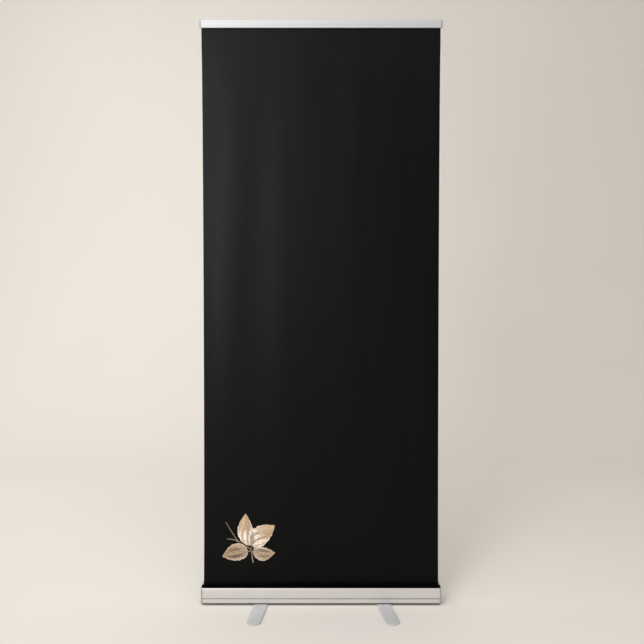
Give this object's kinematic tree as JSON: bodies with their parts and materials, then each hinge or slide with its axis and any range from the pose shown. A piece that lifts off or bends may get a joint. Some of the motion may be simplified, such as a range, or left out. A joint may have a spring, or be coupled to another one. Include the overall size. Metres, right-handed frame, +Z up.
{
  "type": "roll-up banner stand",
  "caption": "Retractable banner stand: spring-roller cassette base with swivelling feet, telescopic pole, clamp rail and a tall printed film graphic.",
  "frame": {"origin": "on the floor, under the middle of the whole stand", "axes": "+Z up, the graphic faces -Y, +X is the viewer's right when facing the graphic"},
  "size_m": [0.864, 0.4142, 2.09],
  "materials": {
    "anodised_housing": "satin anodised extrusion, fine lengthwise drawing lines",
    "anodised_rail": "satin anodised extrusion, fine lengthwise drawing lines",
    "anodised_pole": "satin anodised drawn tube",
    "silver_cap": "moulded silver-grey plastic, fine texture",
    "black_trim": "black satin plastic strip",
    "black_plastic": "black moulded nylon, fine spark texture",
    "graphic_film": "black printed polyester film, satin laminate",
    "leader_film": "plain grey polyester film",
    "galvanised_steel": "zinc plated",
    "screw_steel": "zinc plated",
    "spring_steel": "oiled spring wire",
    "foot_metal": "silver-grey powder coat, fine orange peel",
    "foot_rubber": "matt black",
    "nylon": "natural nylon"
  },
  "bodies": {
    "base": {"cassette_housing": "anodised_housing", "slot_trim": "black_trim", "left_end_cap": "silver_cap", "right_end_cap": "silver_cap", "left_cap_screw_front_low": "screw_steel", "left_cap_screw_rear_low": "screw_steel", "left_cap_screw_front_high": "screw_steel", "left_cap_screw_rear_high": "screw_steel", "right_cap_screw_front_low": "screw_steel", "right_cap_screw_rear_low": "screw_steel", "right_cap_screw_front_high": "screw_steel", "right_cap_screw_rear_high": "screw_steel", "idle_axle_pin": "galvanised_steel", "spring_arbor": "galvanised_steel", "torsion_spring": "spring_steel", "graphic_panel": "graphic_film", "leader_strip": "leader_film", "pole_socket": "black_plastic", "lower_pole_tube": "anodised_pole", "lower_lock_ferrule": "nylon", "left_foot_rivet": "galvanised_steel", "right_foot_rivet": "galvanised_steel", "left_pivot_washer": "nylon", "right_pivot_washer": "nylon"},
    "roller": {"roller_tube": "galvanised_steel", "leader_wrap": "leader_film", "idle_end_plug": "nylon", "spring_end_plug": "nylon"},
    "lower_collar": {"lower_twist_collar": "black_plastic"},
    "pole_middle": {"middle_pole_tube": "anodised_pole", "middle_lock_ferrule": "nylon", "middle_pole_end_plug": "black_plastic"},
    "middle_collar": {"middle_twist_collar": "black_plastic"},
    "pole_upper": {"upper_pole_tube": "anodised_pole", "upper_pole_end_plug": "black_plastic", "pole_top_hook": "black_plastic", "top_rail_body": "anodised_rail", "left_rail_cap": "silver_cap", "right_rail_cap": "silver_cap"},
    "rail_jaw": {"top_rail_jaw": "anodised_rail"},
    "left_foot": {"left_foot_plate": "foot_metal", "left_foot_pad_front": "foot_rubber", "left_foot_pad_rear": "foot_rubber"},
    "right_foot": {"right_foot_plate": "foot_metal", "right_foot_pad_front": "foot_rubber", "right_foot_pad_rear": "foot_rubber"}
  },
  "joints": [
    {"name": "left_foot_swivel", "type": "hinge", "parent": "base", "child": "left_foot", "pos_m": [-0.211, 0, 0.003], "axis": [0, 0, 1], "range_deg": [-84.5, 15]},
    {"name": "right_foot_swivel", "type": "hinge", "parent": "base", "child": "right_foot", "pos_m": [0.221, 0, 0.003], "axis": [0, 0, 1], "range_deg": [-15, 83]},
    {"name": "mast_middle_slide", "type": "slide", "parent": "base", "child": "pole_middle", "axis": [0, 0, 1], "range_m": [-0.61, 0], "deforming": ["graphic_panel"]},
    {"name": "mast_upper_slide", "type": "slide", "parent": "pole_middle", "child": "pole_upper", "axis": [0, 0, 1], "range_m": [-0.61, 0]},
    {"name": "roller_spin", "type": "hinge", "parent": "base", "child": "roller", "pos_m": [0, 0.00355, 0.036], "axis": [1, 0, 0], "continuous": true},
    {"name": "lower_collar_twist", "type": "hinge", "parent": "base", "child": "lower_collar", "pos_m": [0, 0.034, 0.742], "axis": [0, 0, 1], "range_deg": [0, 90]},
    {"name": "middle_collar_twist", "type": "hinge", "parent": "pole_middle", "child": "middle_collar", "pos_m": [0, 0.034, 1.402], "axis": [0, 0, 1], "range_deg": [0, 90]},
    {"name": "rail_jaw_open", "type": "hinge", "parent": "pole_upper", "child": "rail_jaw", "pos_m": [0, 0.0103, 2.0867], "axis": [-1, 0, 0], "range_deg": [0, 60]}
  ],
  "couplings": [
    {"joint": "mast_upper_slide", "follows": "mast_middle_slide", "ratio": 1},
    {"joint": "roller_spin", "follows": "mast_middle_slide", "rad_per_m": -122.7}
  ]
}
